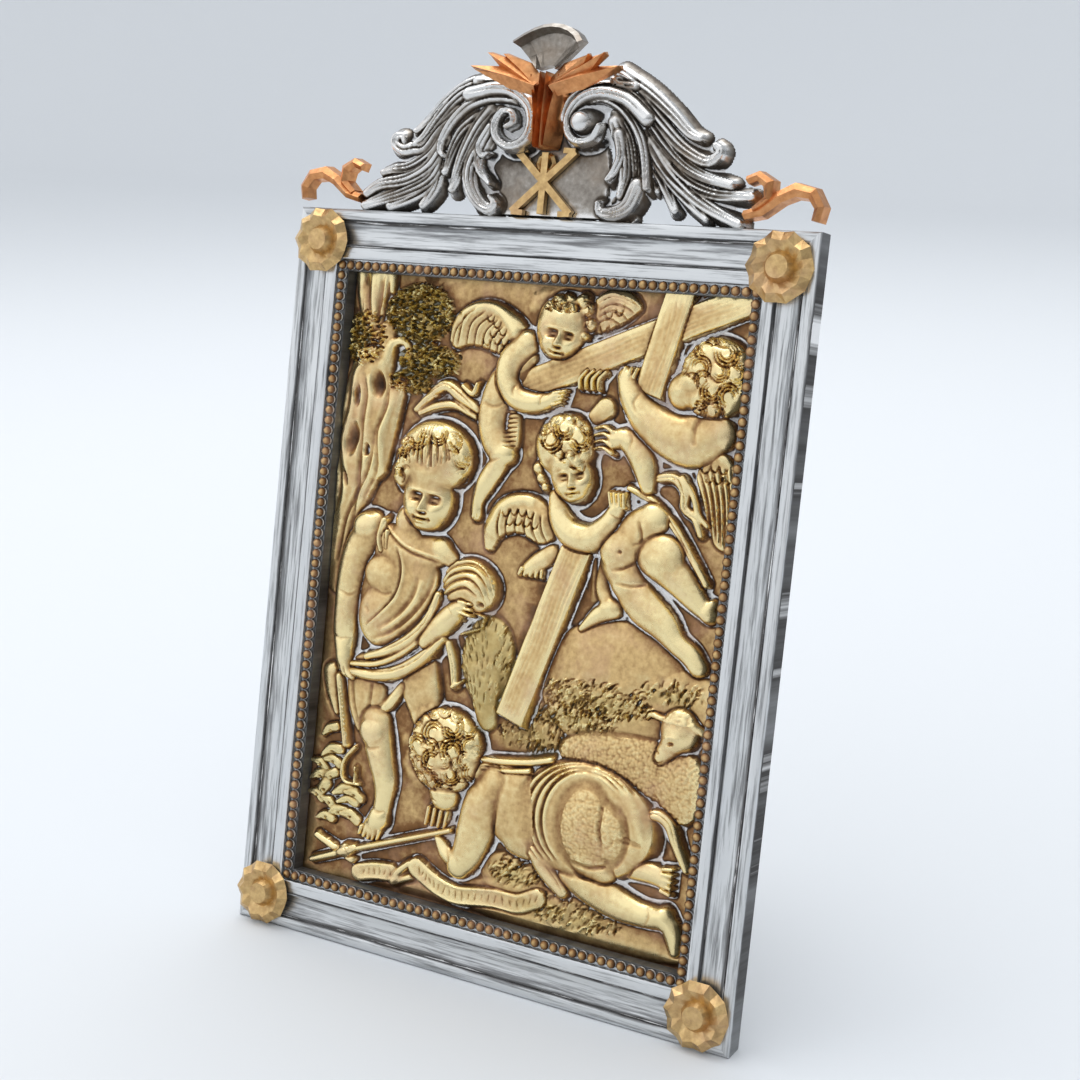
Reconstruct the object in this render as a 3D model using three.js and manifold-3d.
// Plaquette: a gilt figure relief in a silver moulded frame with a pierced crest.
// Millimetres, +Z up, the relief faces -Y and leans back as it stands on its bottom rail and rear handle.
import * as THREE from "three";
import { mergeVertices } from "three/addons/utils/BufferGeometryUtils.js";
import Module from "manifold-3d";

const wasm = await Module();
wasm.setup();

// Driving dimensions of the panel
const LEAN_DEG = 11.4;
const BEAD_LINE_W = 80;
const BEAD_LINE_H = 110.7;
const FRAME_MARGIN = 9.8;
const RETURN_DEPTH = 3.4;
const FIT_GAP = 0.3;

// Gilt bead border
const BEADS_ACROSS = 44;
const BEADS_UP = 60;
const BEAD_HALF_WIDTH = 0.85;
const BEAD_TOP = 0.9;
const BEAD_DIP = -0.1;
const BEAD_SEAT = -0.5;

// Relief plate
const GROUND_DEPTH = 3.7;
const PLATE_THICKNESS = 1.5;
const PLATE_MARGIN = 1.4;
const BURIED = 0.6;

// Rear tray that carries the plate
const TRAY_MARGIN = 4.2;
const TRAY_WALL = 1.2;
const TRAY_BACK_DEPTH = 6.9;

// Rosettes at the four corners
const ROSETTE_OFFSET = 4.0;
const ROSETTE_RADIUS = 5.8;
const ROSETTE_PETALS = 10;
const ROSETTE_SEAT = 0.7;
const NOTCH_DEPTH = 0.07;

// Crest
const CREST_FOOT = BEAD_LINE_H + FRAME_MARGIN + FIT_GAP;
const CREST_BACK = -1.6;
const CREST_TOP = 151.9;

// Rear handle
const HANDLE_WIDTH = 14;
const HANDLE_STRAP = 2.6;
const HANDLE_FOOT_BACK = 46;

const LEAN = THREE.MathUtils.degToRad(LEAN_DEG);
const MIDDLE = BEAD_LINE_W / 2;

const SILVER = { color: "#c9cccb", roughness: 0.3, metalness: 1 };
const DARK_SILVER = { color: "#8f8d88", roughness: 0.4, metalness: 1 };
const GILT = { color: "#d8bd7c", roughness: 0.32, metalness: 1 };
const ROSE_GILT = { color: "#cf9a62", roughness: 0.32, metalness: 1 };

// Panel coordinates: across from the left bead line, up from the bottom bead line, height towards the viewer.
function panelPoint(across, up, height) {
  return [across - MIDDLE, -height, up + FRAME_MARGIN];
}

function signedVolume(positions, triangles) {
  let volume = 0;
  const a = new THREE.Vector3();
  const b = new THREE.Vector3();
  const c = new THREE.Vector3();
  for (let i = 0; i < triangles.length; i += 3) {
    a.fromArray(positions, 3 * triangles[i]);
    b.fromArray(positions, 3 * triangles[i + 1]);
    c.fromArray(positions, 3 * triangles[i + 2]);
    volume += a.dot(b.cross(c)) / 6;
  }
  return volume;
}

// A closed geometry from points and triangles, turned to face outwards.
function closedGeometry(points, triangles) {
  const positions = points.flat();
  const facing = triangles.slice();
  if (signedVolume(positions, facing) < 0) {
    for (let i = 0; i < facing.length; i += 3) {
      [facing[i + 1], facing[i + 2]] = [facing[i + 2], facing[i + 1]];
    }
  }
  const geometry = new THREE.BufferGeometry();
  geometry.setAttribute("position", new THREE.Float32BufferAttribute(positions, 3));
  geometry.setIndex(facing);
  return geometry;
}

function pushQuad(triangles, a, b, c, d) {
  triangles.push(a, b, c, a, c, d);
}

// A closed body through equal rings of points; the ends are fanned shut unless the rings run in a loop.
function skinRings(rings, looped = false) {
  const size = rings[0].length;
  const triangles = [];
  const spans = looped ? rings.length : rings.length - 1;
  for (let i = 0; i < spans; i += 1) {
    const here = i * size;
    const next = ((i + 1) % rings.length) * size;
    for (let j = 0; j < size; j += 1) {
      const k = (j + 1) % size;
      pushQuad(triangles, here + j, here + k, next + k, next + j);
    }
  }
  if (!looped) {
    const last = (rings.length - 1) * size;
    for (let j = 1; j < size - 1; j += 1) {
      triangles.push(0, j + 1, j);
      triangles.push(last, last + j, last + j + 1);
    }
  }
  return closedGeometry(rings.flat(), triangles);
}

function manifoldOf(geometry) {
  const bare = geometry.clone();
  bare.deleteAttribute("normal");
  bare.deleteAttribute("uv");
  const merged = mergeVertices(bare, 1e-4);
  const mesh = new wasm.Mesh({
    numProp: 3,
    vertProperties: merged.attributes.position.array,
    triVerts: new Uint32Array(merged.index.array),
  });
  return new wasm.Manifold(mesh);
}

function geometryOf(solid) {
  const mesh = solid.getMesh();
  const geometry = new THREE.BufferGeometry();
  geometry.setAttribute("position", new THREE.BufferAttribute(mesh.vertProperties, 3));
  geometry.setIndex(new THREE.BufferAttribute(mesh.triVerts, 1));
  return geometry;
}

function unite(geometries) {
  let solid = manifoldOf(geometries[0]);
  for (const geometry of geometries.slice(1)) {
    solid = solid.add(manifoldOf(geometry));
  }
  return geometryOf(solid);
}

function cutAway(geometry, cutters) {
  let solid = manifoldOf(geometry);
  for (const cutter of cutters) {
    solid = solid.subtract(manifoldOf(cutter));
  }
  return geometryOf(solid);
}

// The four corners of the bead line rectangle moved out by a distance, at a height.
function rectangleRing(outward, height) {
  return [
    [-outward, -outward],
    [BEAD_LINE_W + outward, -outward],
    [BEAD_LINE_W + outward, BEAD_LINE_H + outward],
    [-outward, BEAD_LINE_H + outward],
  ].map(([across, up]) => panelPoint(across, up, height));
}

// Frame: one moulding profile mitred round the four sides, its foot cut level where it stands.
function frameMoulding() {
  const profile = [
    [0.9, -RETURN_DEPTH],
    [-0.95, -RETURN_DEPTH],
    [-0.95, BEAD_SEAT - FIT_GAP],
    [1.1, BEAD_SEAT - FIT_GAP],
    [1.25, 0.2],
    [3.1, 0.45],
    [3.35, 0.0],
    [6.6, -0.35],
    [7.7, 0.15],
    [7.95, 0.5],
    [9.4, 0.5],
    [FRAME_MARGIN, 0.1],
    [FRAME_MARGIN, -RETURN_DEPTH],
  ];
  const corners = [0, 1, 2, 3].map((corner) =>
    profile.map(([outward, height]) => rectangleRing(outward, height)[corner]),
  );
  const moulding = skinRings(corners, true);
  const floorCut = new THREE.BoxGeometry(120, 40, 20);
  floorCut.translate(0, 0, -10);
  floorCut.rotateX(LEAN);
  return cutAway(moulding, [floorCut]);
}

// Bead border: a mitred strip whose top rises to one four-sided peak for each bead.
function beadBorder() {
  const points = [];
  const triangles = [];
  const addPoint = (point) => points.push(point) - 1;
  const foot = [-BEAD_HALF_WIDTH, BEAD_HALF_WIDTH].map((outward) =>
    rectangleRing(outward, BEAD_SEAT).map(addPoint),
  );
  const dipCorners = [-BEAD_HALF_WIDTH, BEAD_HALF_WIDTH].map((outward) => rectangleRing(outward, BEAD_DIP));
  const peakCorners = rectangleRing(0, BEAD_TOP);
  const counts = [BEADS_ACROSS, BEADS_UP, BEADS_ACROSS, BEADS_UP];
  const between = (from, to, share) => from.map((value, axis) => value + (to[axis] - value) * share);
  const corners = dipCorners.map((ring) => ring.map(addPoint));
  counts.forEach((count, side) => {
    const next = (side + 1) % 4;
    const dips = dipCorners.map((ring, line) => {
      const inner = Array.from({ length: count - 1 }, (_, k) =>
        addPoint(between(ring[side], ring[next], (k + 1) / count)),
      );
      return [corners[line][side], ...inner, corners[line][next]];
    });
    const [inside, outside] = dips;
    for (let k = 0; k < count; k += 1) {
      const peak = addPoint(between(peakCorners[side], peakCorners[next], (k + 0.5) / count));
      triangles.push(outside[k], outside[k + 1], peak);
      triangles.push(outside[k + 1], inside[k + 1], peak);
      triangles.push(inside[k + 1], inside[k], peak);
      triangles.push(inside[k], outside[k], peak);
      triangles.push(foot[1][side], outside[k + 1], outside[k]);
      triangles.push(foot[0][side], inside[k], inside[k + 1]);
    }
    triangles.push(foot[1][side], foot[1][next], outside[count]);
    triangles.push(foot[0][side], inside[count], foot[0][next]);
    pushQuad(triangles, foot[0][side], foot[0][next], foot[1][next], foot[1][side]);
  });
  return closedGeometry(points, triangles);
}

// Relief shapes are low-sided bodies that rise from inside the plate; heights here count from its ground.
function reliefPoint(across, up, rise) {
  return panelPoint(across, up, rise - GROUND_DEPTH);
}

// A chain of limbs: five-sided rings at the joints, drawn to a blunt point past each end.
function limbs(joints, radii, fullness = 0.75, lift = 0.4) {
  const last = joints.length - 1;
  const rings = joints.map((joint, i) => {
    const ahead = joints[Math.min(last, i + 1)];
    const behind = joints[Math.max(0, i - 1)];
    const length = Math.hypot(ahead[0] - behind[0], ahead[1] - behind[1]);
    const along = [(ahead[0] - behind[0]) / length, (ahead[1] - behind[1]) / length];
    return { joint, along, radius: radii[i] };
  });
  const section = ({ joint, along, radius }, step, share) => {
    const centre = [joint[0] + along[0] * radius * step, joint[1] + along[1] * radius * step];
    const place = (side, rise) =>
      reliefPoint(centre[0] - along[1] * radius * side, centre[1] + along[0] * radius * side, rise);
    const crown = lift + fullness * radius * share;
    return [
      place(-share, -BURIED),
      place(-0.75 * share, 0.3 * lift + 0.7 * crown),
      place(0, crown),
      place(0.75 * share, 0.3 * lift + 0.7 * crown),
      place(share, -BURIED),
    ];
  };
  return skinRings([
    section(rings[0], -0.7, 0.55),
    ...rings.map((ring) => section(ring, 0, 1)),
    section(rings[last], 0.7, 0.55),
  ]);
}

// A swelling on an oval foot, for heads, trunks and clumps.
function mound(centre, halfWidth, halfHeight, rise, tiltDeg = 0, sides = 7) {
  const tilt = THREE.MathUtils.degToRad(tiltDeg);
  const levels = [
    { share: 1, height: -BURIED },
    { share: 0.9, height: 0.6 * rise },
    { share: 0.5, height: rise },
  ];
  const rings = levels.map(({ share, height }) =>
    Array.from({ length: sides }, (_, k) => {
      const angle = (2 * Math.PI * (k + 0.5)) / sides;
      const u = halfWidth * share * Math.cos(angle);
      const v = halfHeight * share * Math.sin(angle);
      const across = centre[0] + u * Math.cos(tilt) - v * Math.sin(tilt);
      const up = centre[1] + u * Math.sin(tilt) + v * Math.cos(tilt);
      return reliefPoint(across, up, height);
    }),
  );
  return skinRings(rings);
}

// A flat board between two points.
function board(from, to, width, rise) {
  const length = Math.hypot(to[0] - from[0], to[1] - from[1]);
  const side = [(-(to[1] - from[1]) * width) / (2 * length), ((to[0] - from[0]) * width) / (2 * length)];
  const rings = [from, to].map((end) => [
    reliefPoint(end[0] - side[0], end[1] - side[1], -BURIED),
    reliefPoint(end[0] - side[0], end[1] - side[1], rise),
    reliefPoint(end[0] + side[0], end[1] + side[1], rise),
    reliefPoint(end[0] + side[0], end[1] + side[1], -BURIED),
  ]);
  return skinRings(rings);
}

function feathers(root, tips) {
  return tips.map((tip) => limbs([root, tip], [1.5, 1.3], 0.45, 0.5));
}

// The standing child at the left, with a cloth bundle held up in one hand.
function standingChild() {
  return [
    mound([21.2, 77], 7.9, 7.8, 4.1),
    mound([20.4, 70.4], 5.2, 5.4, 3.3),
    mound([17.4, 56.5], 7.6, 10, 2.4),
    mound([13.4, 34.6], 5.4, 4.4, 1.8),
    mound([32.6, 57.3], 5.8, 4.8, 3.0),
    mound([25, 36.2], 3.6, 3.2, 1.6, 0, 6),
    limbs([[9.8, 63.8], [6.8, 51], [6.9, 41], [6.6, 38.3]], [3.7, 3.1, 2.5, 2.1]),
    limbs([[24.5, 47], [30.8, 53.3]], [2.6, 2]),
    limbs([[9, 39.4], [16, 39.2], [22, 42.5], [28, 47.5]], [1.7, 1.8, 1.8, 1.3]),
    limbs([[24, 60.5], [21.5, 52], [15, 45.5], [10.5, 43]], [1.5, 1.7, 1.5, 1.2], 0.9, 1.6),
    limbs([[14.6, 30.4], [17.3, 22.5], [17.9, 16.2], [16, 10.6]], [3.9, 2.9, 2, 1.9]),
  ];
}

// The kneeling child along the bottom, bent over a staff.
function kneelingChild() {
  return [
    mound([30, 28.4], 7.6, 7.9, 4.2, 0, 10),
    mound([44, 21.4], 9, 8.4, 2.6),
    mound([59.3, 21.6], 7.8, 8.6, 3.9, 0, 10),
    limbs([[30.8, 21], [30, 18.2]], [2.6, 1.8]),
    limbs([[41, 23.5], [36.6, 9.8], [31, 11.3]], [4.8, 2.9, 1.7]),
    limbs([[51, 13.4], [56, 9.8]], [3.2, 2]),
    limbs([[59.5, 11], [70.5, 8], [75, 7.4], [77, 4]], [3.5, 2.3, 2.1, 1.4]),
    limbs([[68.5, 15], [76, 14.8]], [2.3, 1.9]),
    limbs([[69, 23.6], [72, 26.6], [75, 23.6], [77.3, 19.5]], [1.4, 1.3, 1.3, 0.9]),
    limbs([[53.5, 29.5], [49, 26], [48, 20], [51.5, 14.5]], [1.1, 1.2, 1.2, 0.9], 0.8, 1.8),
    limbs([[47, 28.8], [57, 31.4], [65, 29.2], [69, 24]], [1.1, 1.3, 1.3, 0.9], 0.8, 1.8),
  ];
}

function lamb() {
  return [
    mound([66, 32.8], 12, 5.2, 2.0),
    mound([74.6, 29.6], 3.9, 4.4, 1.7, 0, 6),
    mound([73.8, 40], 3.9, 4, 3.0),
    limbs([[73, 37.8], [71.6, 35.2]], [2.2, 1.7]),
  ];
}

// Three winged children carry the cross: one over it, one behind it, one under it.
function upperChild() {
  return [
    mound([45.2, 102.8], 4.9, 5.9, 3.5),
    limbs([[38.3, 99.3], [35.6, 92.2], [43, 89.7], [45.6, 91.2]], [2.7, 2.6, 1.8, 1.4]),
    limbs([[33.5, 90.5], [33.6, 84], [37, 80.6]], [3.1, 3, 2.3]),
    limbs([[36.2, 80], [32.2, 72], [31.9, 69.4]], [2.2, 1.5, 1.3]),
    limbs([[36, 103], [30.5, 105.4], [25, 103.4]], [1.8, 1.8, 1.5], 0.5, 0.8),
    ...feathers([33, 103], [[24.8, 99.5], [28, 98.6], [31.4, 98.6]]),
    ...feathers([52, 104.8], [[58.6, 107.8], [56.6, 104.9]]),
    limbs([[29, 88.5], [23.5, 91.5], [18, 87.3]], [1.6, 1.6, 1]),
  ];
}

function backChild() {
  return [
    mound([72.3, 96.7], 6.4, 6.4, 4.1, 0, 10),
    limbs([[68.6, 94.2], [67.2, 93.4]], [2.7, 2.3]),
    limbs([[70.5, 85.8], [61.8, 88.3], [58.2, 95.2]], [4, 3, 2]),
    limbs([[62.9, 79.8], [57, 84.9], [54.8, 85]], [2.3, 1.9, 1.2]),
    mound([75.6, 82.8], 3, 2.6, 2.2, 0, 6),
    ...feathers([75, 81.5], [[73.6, 74.5], [76.8, 74.5]]),
    limbs([[67, 79.8], [71, 78.6], [72, 74.6]], [1.4, 1.4, 0.9]),
  ];
}

function middleChild() {
  return [
    mound([47.6, 83.4], 6, 5.4, 4.0),
    mound([49.4, 78.2], 3.9, 4.6, 3.2, 15),
    limbs([[47.8, 73.3], [51.6, 68.2], [57.5, 73], [59.4, 75.6]], [2.2, 2.6, 2, 1.7]),
    mound([61.8, 69], 5.2, 7.6, 2.9, 25),
    mound([68, 66.8], 3.8, 3.6, 3.3),
    limbs([[68.4, 65.4], [74.8, 60.5], [77.2, 59.8]], [3, 1.7, 1.2]),
    limbs([[62.6, 61.4], [67.8, 57.8], [74.2, 51.4], [76.4, 49.4]], [3.6, 3.3, 1.9, 1.5]),
    limbs([[58.9, 57.3], [54.5, 53.5]], [1.8, 0.9]),
    limbs([[47.2, 64.8], [43.8, 62]], [1.7, 1.8]),
    limbs([[46, 71.5], [40.5, 72.8], [36, 68.5], [34.6, 64]], [1.6, 2, 1.6, 1.1], 0.5, 0.8),
    ...feathers([44, 71], [[38.4, 66.8], [42.2, 66.8]]),
  ];
}

function carriedCross() {
  return [
    board([38, 92.4], [78.4, 110], 5.3, 1.7),
    board([65.8, 109.2], [62.6, 94.5], 5.3, 2.3),
    board([52, 66.5], [42.8, 35.8], 5.7, 2.3),
  ];
}

// Trunk, three clumps of foliage, shrub, hill, plants and the strip of ground.
function landscape() {
  return [
    limbs([[6.6, 62], [9, 75], [8.4, 88], [6.5, 93], [10, 99]], [2.8, 3.8, 4.2, 2.6, 1.7], 0.5),
    limbs([[8.6, 97], [6.6, 107]], [2.3, 2.5], 0.5),
    limbs([[12.6, 86], [16, 93]], [1.7, 1.4], 0.5),
    mound([16.2, 103], 6.8, 5, 1.5),
    mound([19.6, 95.8], 5.4, 2.6, 1.4, 8),
    mound([15.4, 91.6], 4.4, 2.4, 1.3, 15, 6),
    mound([5.2, 98.4], 3.2, 4, 1.3, 0, 6),
    mound([38, 44.2], 4.6, 8, 1.3, 0, 6),
    mound([62.6, 45.6], 14.6, 8.8, 0.9),
    mound([6.4, 20.4], 4.8, 8.4, 1.3, 0, 6),
  ];
}

// The wavy ribbon along the foot, and the little staff cross in front of it.
function ribbonAndStaff() {
  const wave = [[15, 3.6], [20.5, 4.6], [26.5, 6.9], [31, 4.7], [35.8, 3.7], [41, 4.6], [47, 5], [51.4, 6.4]];
  return [
    limbs(wave, wave.map(() => 1.6), 0.2, 1.3),
    limbs([[13, 7], [32, 14.8]], [0.8, 0.8], 0.6, 1.8),
    board([4.3, 7.2], [12.8, 3.2], 1.8, 1.9),
    board([4, 3.4], [11.5, 7.4], 1.8, 2.1),
  ];
}

// Relief plate: every figure raised from one flat sheet, wider than the sight opening it lies behind.
function reliefPlaquette() {
  const sheet = skinRings([
    rectangleRing(PLATE_MARGIN, -GROUND_DEPTH),
    rectangleRing(PLATE_MARGIN, -GROUND_DEPTH - PLATE_THICKNESS),
  ]);
  const carved = unite([
    ...landscape(),
    ...carriedCross(),
    ...standingChild(),
    ...kneelingChild(),
    ...lamb(),
    ...upperChild(),
    ...backChild(),
    ...middleChild(),
    ...ribbonAndStaff(),
  ]);
  const opening = skinRings([
    rectangleRing(-1.25, 2),
    rectangleRing(-1.25, -GROUND_DEPTH - 1),
  ]);
  const shown = geometryOf(manifoldOf(carved).intersect(manifoldOf(opening)));
  return unite([sheet, shown]);
}

// Rear tray: a shallow pan with walls up to the frame's back.
function rearTray() {
  const outerEdge = TRAY_MARGIN;
  const innerEdge = TRAY_MARGIN - TRAY_WALL;
  const rim = -RETURN_DEPTH - FIT_GAP;
  const pocket = -GROUND_DEPTH - PLATE_THICKNESS - FIT_GAP;
  const pan = skinRings([rectangleRing(outerEdge, rim), rectangleRing(outerEdge, -TRAY_BACK_DEPTH)]);
  const hollow = skinRings([rectangleRing(innerEdge, rim + 1), rectangleRing(innerEdge, pocket)]);
  return cutAway(pan, [hollow]);
}

// Rosette: rings of points round a centre, petals as swellings of the rim.
function rosette(across, up) {
  const spokes = 2 * ROSETTE_PETALS;
  const rings = [
    { reach: 0.32, height: 2.2, sunk: 0 },
    { reach: 0.44, height: 1.0, sunk: 0 },
    { reach: 0.76, height: 2.0, sunk: 0.5 },
    { reach: 1.0, height: 0.9, sunk: 0.4 },
    { reach: 0.88, height: 0, sunk: 0 },
  ];
  const rows = rings.map(({ reach, height, sunk }) =>
    Array.from({ length: spokes }, (_, k) => {
      const angle = (2 * Math.PI * k) / spokes;
      const notch = k % 2 === 0 ? 0 : 1;
      const radius = ROSETTE_RADIUS * (reach - (sunk > 0 ? NOTCH_DEPTH * notch : 0));
      return panelPoint(
        across + radius * Math.cos(angle),
        up + radius * Math.sin(angle),
        ROSETTE_SEAT + height - sunk * notch,
      );
    }),
  );
  return skinRings(rows);
}

// A point on a path bent from one end to the other by a middle handle.
function bentPoint(path, t) {
  const [from, bend, to] = path;
  const s = 1 - t;
  return [0, 1].map((axis) => s * s * from[axis] + 2 * s * t * bend[axis] + t * t * to[axis]);
}

// A ridged leaf lobe along a bent path: sharp-backed, widest near its root and drawn to a tip.
function leafLobe(path, halfWidth, rise, base = CREST_BACK, spans = 3) {
  const rings = [];
  for (let i = 0; i <= spans; i += 1) {
    const t = i / spans;
    const here = bentPoint(path, t);
    const ahead = bentPoint(path, Math.min(1, t + 0.02));
    const behind = bentPoint(path, Math.max(0, t - 0.02));
    const length = Math.hypot(ahead[0] - behind[0], ahead[1] - behind[1]);
    const side = [-(ahead[1] - behind[1]) / length, (ahead[0] - behind[0]) / length];
    const reach = halfWidth * Math.sin(Math.PI * (0.28 + 0.66 * t));
    const at = (share, height) =>
      panelPoint(here[0] + side[0] * reach * share, here[1] + side[1] * reach * share, height);
    rings.push([at(-1, base), at(0, rise), at(1, base)]);
  }
  return skinRings(rings);
}

function mirrored(path) {
  return path.map(([across, up]) => [BEAD_LINE_W - across, up]);
}

function bothSides(lobes) {
  return lobes.flatMap(({ path, halfWidth, rise, base, spans }) => [
    leafLobe(path, halfWidth, rise, base, spans),
    leafLobe(mirrored(path), halfWidth, rise, base, spans),
  ]);
}

// Silver casting of the crest: arched plate, volutes and two acanthus sprays.
function crestCasting() {
  const plate = new THREE.Shape();
  const arch = [[-11, 0], [11, 0], [11.5, 10], [8, 18.5], [0, 20.5], [-8, 18.5], [-11.5, 10]];
  plate.setFromPoints(arch.map(([x, z]) => new THREE.Vector2(x, z)));
  const plateBody = new THREE.ExtrudeGeometry(plate, { depth: 1.2, bevelEnabled: false });
  plateBody.rotateX(Math.PI / 2);
  plateBody.translate(0, -CREST_BACK, CREST_FOOT + FRAME_MARGIN);
  const outerSpray = [
    { path: [[29, 142.6], [19, 143], [13.6, 134.4]], halfWidth: 1.7, rise: 1.2 },
    { path: [[28, 140.8], [17, 140], [12.6, 131.2]], halfWidth: 2.1, rise: 1.8 },
    { path: [[22, 138.5], [16, 129], [7.4, 127]], halfWidth: 2.3, rise: 1.4, spans: 2 },
    { path: [[21, 137], [17, 125.5], [5.6, 123.8]], halfWidth: 2.6, rise: 1.8 },
    { path: [[20.5, 134], [18, 123.6], [4.4, 121.3]], halfWidth: 2.1, rise: 1.4 },
    { path: [[20.5, 132], [19, 124.5], [10.4, 121.8]], halfWidth: 1.9, rise: 1.8 },
    { path: [[14, 131.8], [9.6, 129.6], [9.4, 133.4]], halfWidth: 1.3, rise: 1.2 },
    { path: [[21, 133], [19.6, 126], [16.8, 121.6]], halfWidth: 2.0, rise: 1.2, spans: 2 },
  ];
  const innerLeaf = [
    { path: [[32, 140.3], [21, 142.5], [20, 130.4]], halfWidth: 1.7, rise: 2.6 },
    { path: [[27, 138.5], [21, 131], [22.8, 124.4]], halfWidth: 2.4, rise: 2.2, spans: 2 },
    { path: [[28, 138], [22.5, 126], [31.4, 122.4]], halfWidth: 2.0, rise: 2.4 },
    { path: [[29, 137], [24, 130.5], [29.2, 126.6]], halfWidth: 1.8, rise: 2.2, spans: 2 },
  ];
  const volute = [
    { path: [[35.5, 133.2], [36.8, 139.6], [30.5, 140.2]], halfWidth: 1.4, rise: 2.6 },
    { path: [[36, 134.8], [33.6, 130.4], [30.2, 134.2]], halfWidth: 1.3, rise: 2.8, spans: 2 },
    { path: [[30.4, 134.2], [31.4, 138.6], [34.2, 136.2]], halfWidth: 1.9, rise: 3.8, spans: 2 },
  ];
  return unite([plateBody, ...bothSides(outerSpray), ...bothSides(innerLeaf), ...bothSides(volute)]);
}

// Gilt calyx in front of the plate, spreading into two leaves.
function crestCalyx() {
  const stemSeat = 0.1;
  const leafSeat = 2.9;
  const flutes = [
    { path: [[39, 132], [38.8, 137], [37.4, 143.4]], halfWidth: 1.5, rise: 3.9, base: stemSeat },
    { path: [[39.4, 131.6], [39.6, 137], [39.4, 143.8]], halfWidth: 1.7, rise: 4.4, base: stemSeat },
  ];
  const tips = [[26, 144.6], [29, 146.8], [32, 146.6]];
  const leaf = tips.map((tip, i) => ({
    path: [[38.6, 141.4], [34.5 + 0.9 * i, 142.9 + 0.4 * i], tip],
    halfWidth: 2,
    rise: 4.6 - 0.2 * i,
    base: leafSeat,
    spans: 2,
  }));
  const stem = flutes.map((flute) => ({ ...flute, spans: 2 }));
  return unite([...bothSides(stem), ...bothSides(leaf)]);
}

// Silver shell above the calyx: a hollow fan with a thick rolled rim.
function crestShell() {
  const root = [MIDDLE, 142.6];
  const spokes = 8;
  const bands = [
    { reach: 0.28, height: 2.2 },
    { reach: 0.6, height: 1.4 },
    { reach: 0.88, height: 1.4 },
    { reach: 0.96, height: 3.2 },
    { reach: 1.04, height: 2.4 },
  ];
  const rings = [];
  for (let k = 0; k <= spokes; k += 1) {
    const turn = (2 * k) / spokes - 1;
    const angle = turn * 0.78;
    const rim = (CREST_TOP - root[1]) / 1.04;
    const side = Math.abs(turn) ** 3;
    const at = (reach, height) =>
      panelPoint(
        root[0] + reach * rim * Math.sin(angle),
        root[1] + reach * rim * Math.cos(angle) * (1 - 0.06 * side),
        height + 1.6 * side,
      );
    // The ring starts at the outer back corner, from which the whole hollow section can be fanned shut.
    rings.push([
      at(1.04, 0.2),
      at(0.28, 0.2),
      ...bands.map(({ reach, height }) => at(reach, height)),
    ]);
  }
  return skinRings(rings);
}

// A straight bar of the ornament between two points.
function barBody(from, to, width, low, high) {
  const length = Math.hypot(to[0] - from[0], to[1] - from[1]);
  const side = [(-(to[1] - from[1]) / length) * (width / 2), ((to[0] - from[0]) / length) * (width / 2)];
  const rings = [from, to].map((end) => [
    panelPoint(end[0] - side[0], end[1] - side[1], low),
    panelPoint(end[0] + side[0], end[1] + side[1], low),
    panelPoint(end[0] + side[0], end[1] + side[1], high),
    panelPoint(end[0] - side[0], end[1] - side[1], high),
  ]);
  return skinRings(rings);
}

// Applied gilt ornament: saltire and upright with barbed ends and a small ring at the head.
function crestOrnament() {
  const low = CREST_BACK + 1.2 + FIT_GAP;
  const high = low + 1.1;
  const centre = [MIDDLE, 126.4];
  const pieces = [barBody([MIDDLE, CREST_FOOT + 0.3], [MIDDLE, 131.2], 1.2, low, high)];
  for (const across of [-1, 1]) {
    for (const up of [-1, 1]) {
      const end = [centre[0] + across * 5.6, centre[1] + up * 5.1];
      pieces.push(barBody(centre, end, 1.2, low, high));
      pieces.push(barBody(end, [end[0] - across * 2.2, end[1] + up * 0.1], 0.9, low, high));
    }
  }
  const ring = new THREE.TorusGeometry(1.5, 0.5, 4, 8);
  ring.rotateX(Math.PI / 2);
  ring.translate(0, -(low + high) / 2, 129.4 + FRAME_MARGIN);
  pieces.push(ring);
  return unite(pieces);
}

// A gilt scroll at one end of the crest: a long bent stem with a curl, and a bud standing on it.
function endScroll(onRight) {
  const stem = [
    [3.2, 122.4],
    [0.5, 123.1],
    [-2.4, 125.4],
    [-5, 126.6],
    [-7.8, 126.1],
    [-9.2, 124],
    [-8.8, 121.9],
  ];
  const foot = CREST_BACK + 0.3;
  const bud = [[1.6, 123.2], [-0.6, 125], [-0.4, 127.4], [1.4, 128.5], [3.2, 127.8]];
  const sweep = (points, thick) => {
    const rings = points.map((point, i) => {
      const ahead = points[Math.min(points.length - 1, i + 1)];
      const behind = points[Math.max(0, i - 1)];
      const length = Math.hypot(ahead[0] - behind[0], ahead[1] - behind[1]);
      const reach = thick * (1 - 0.35 * Math.abs((2 * i) / (points.length - 1) - 1));
      const side = [(-(ahead[1] - behind[1]) / length) * reach, ((ahead[0] - behind[0]) / length) * reach];
      const place = (share, height) => {
        const across = point[0] + side[0] * share;
        return panelPoint(onRight ? BEAD_LINE_W - across : across, point[1] + side[1] * share, height);
      };
      return [place(-1, foot), place(-0.8, 1), place(0, 1.7), place(0.8, 1), place(1, foot)];
    });
    return skinRings(rings);
  };
  return unite([sweep(stem, 1.35), sweep(bud, 1.2)]);
}

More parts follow.
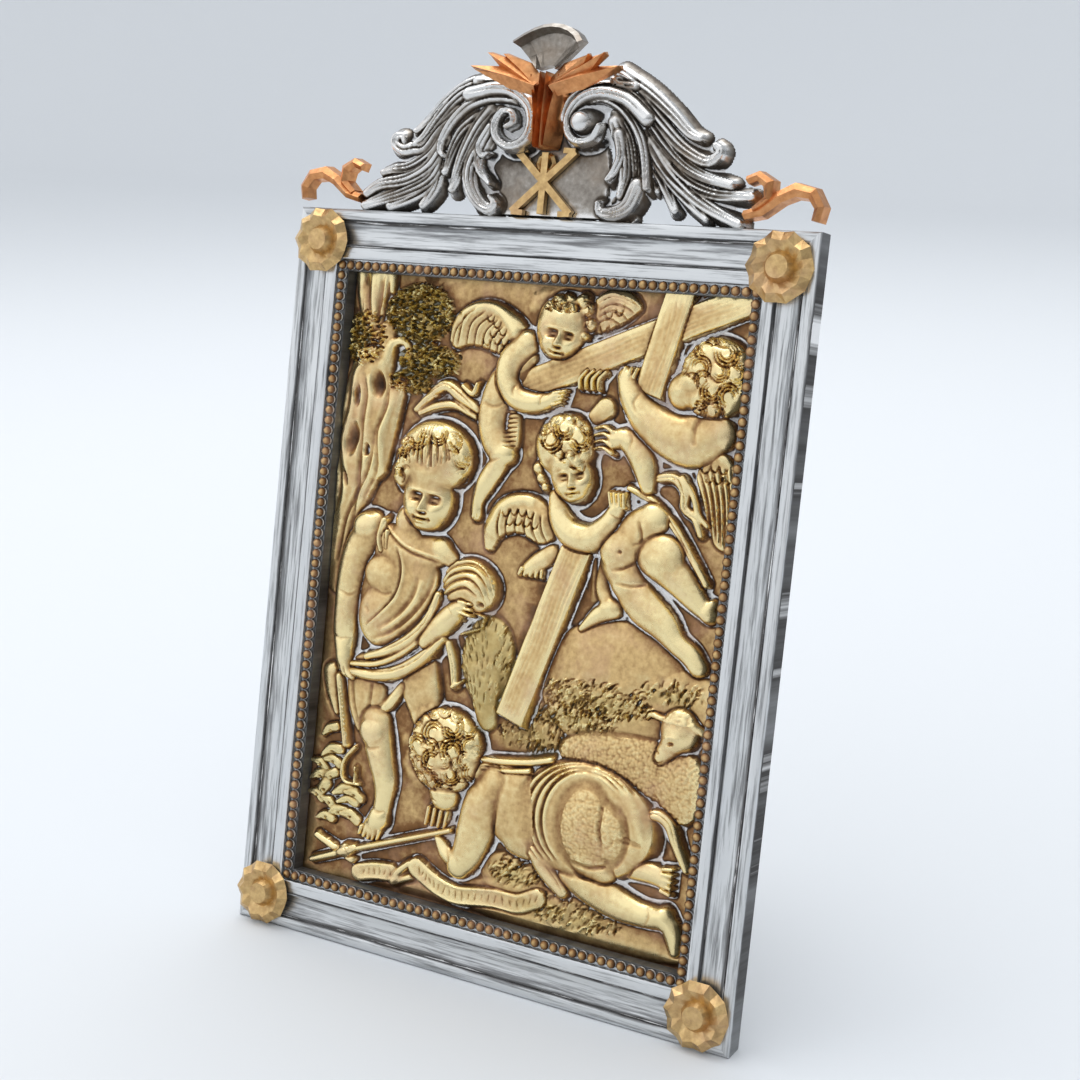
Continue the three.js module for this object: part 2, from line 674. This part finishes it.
// Rear handle: a bowed strap from the tray to a foot on the table, with room for a finger.
function rearHandle() {
  const back = TRAY_BACK_DEPTH + FIT_GAP;
  const floorAt = (depth) => depth * Math.tan(LEAN);
  const foot = floorAt(HANDLE_FOOT_BACK);
  const outline = new THREE.Shape();
  outline.moveTo(back, 104);
  outline.bezierCurveTo(back + 16, 104, back + 22, 84, back + 27, 62);
  outline.bezierCurveTo(back + 31, 42, back + 34, 28, HANDLE_FOOT_BACK + 3, foot + 5);
  outline.lineTo(HANDLE_FOOT_BACK + 3, floorAt(HANDLE_FOOT_BACK + 3));
  outline.lineTo(HANDLE_FOOT_BACK - 5, floorAt(HANDLE_FOOT_BACK - 5));
  outline.lineTo(HANDLE_FOOT_BACK - 4, foot + 4);
  outline.bezierCurveTo(back + 30, 26, back + 20, 27, back, 27);
  const gap = new THREE.Path();
  const inside = HANDLE_STRAP;
  gap.moveTo(back + inside, 98);
  gap.lineTo(back + inside, 31);
  gap.lineTo(back + 21, 31);
  gap.quadraticCurveTo(back + 27.5, 33, back + 26, 44);
  gap.lineTo(back + 21, 71);
  gap.quadraticCurveTo(back + 15, 95, back + inside, 98);
  outline.holes.push(gap);
  const strap = new THREE.ExtrudeGeometry(outline, {
    depth: HANDLE_WIDTH,
    bevelEnabled: false,
    curveSegments: 6,
  });
  const depthAxis = new THREE.Vector3(0, 1, 0);
  const upAxis = new THREE.Vector3(0, 0, 1);
  const acrossAxis = new THREE.Vector3(1, 0, 0);
  strap.applyMatrix4(new THREE.Matrix4().makeBasis(depthAxis, upAxis, acrossAxis));
  strap.translate(-HANDLE_WIDTH / 2, 0, 0);
  return strap;
}

const part = new THREE.Group();
part.name = "plaquette";

const leaning = new THREE.Group();
leaning.rotation.x = -LEAN;
part.add(leaning);

function addPiece(name, geometry, finish) {
  const mesh = new THREE.Mesh(geometry, new THREE.MeshStandardMaterial(finish));
  mesh.name = name;
  leaning.add(mesh);
}

addPiece("frame_moulding", frameMoulding(), SILVER);
addPiece("bead_border", beadBorder(), GILT);
addPiece("relief_plaquette", reliefPlaquette(), GILT);
addPiece("rear_tray", rearTray(), SILVER);
addPiece("rosette_bottom_left", rosette(-ROSETTE_OFFSET, -ROSETTE_OFFSET), GILT);
addPiece("rosette_bottom_right", rosette(BEAD_LINE_W + ROSETTE_OFFSET, -ROSETTE_OFFSET), GILT);
addPiece("rosette_top_left", rosette(-ROSETTE_OFFSET, BEAD_LINE_H + ROSETTE_OFFSET), GILT);
addPiece("rosette_top_right", rosette(BEAD_LINE_W + ROSETTE_OFFSET, BEAD_LINE_H + ROSETTE_OFFSET), GILT);
addPiece("crest_casting", crestCasting(), DARK_SILVER);
addPiece("crest_calyx", crestCalyx(), ROSE_GILT);
addPiece("crest_shell", crestShell(), DARK_SILVER);
addPiece("crest_ornament", crestOrnament(), GILT);
addPiece("crest_scroll_left", endScroll(false), ROSE_GILT);
addPiece("crest_scroll_right", endScroll(true), ROSE_GILT);
addPiece("rear_handle", rearHandle(), SILVER);

// The frame's origin: middle of the footprint, on the table.
part.updateMatrixWorld(true);
const extent = new THREE.Box3().setFromObject(part, true);
const footprint = extent.getCenter(new THREE.Vector3());
leaning.position.set(-footprint.x, -footprint.y, -extent.min.z);

export default part;
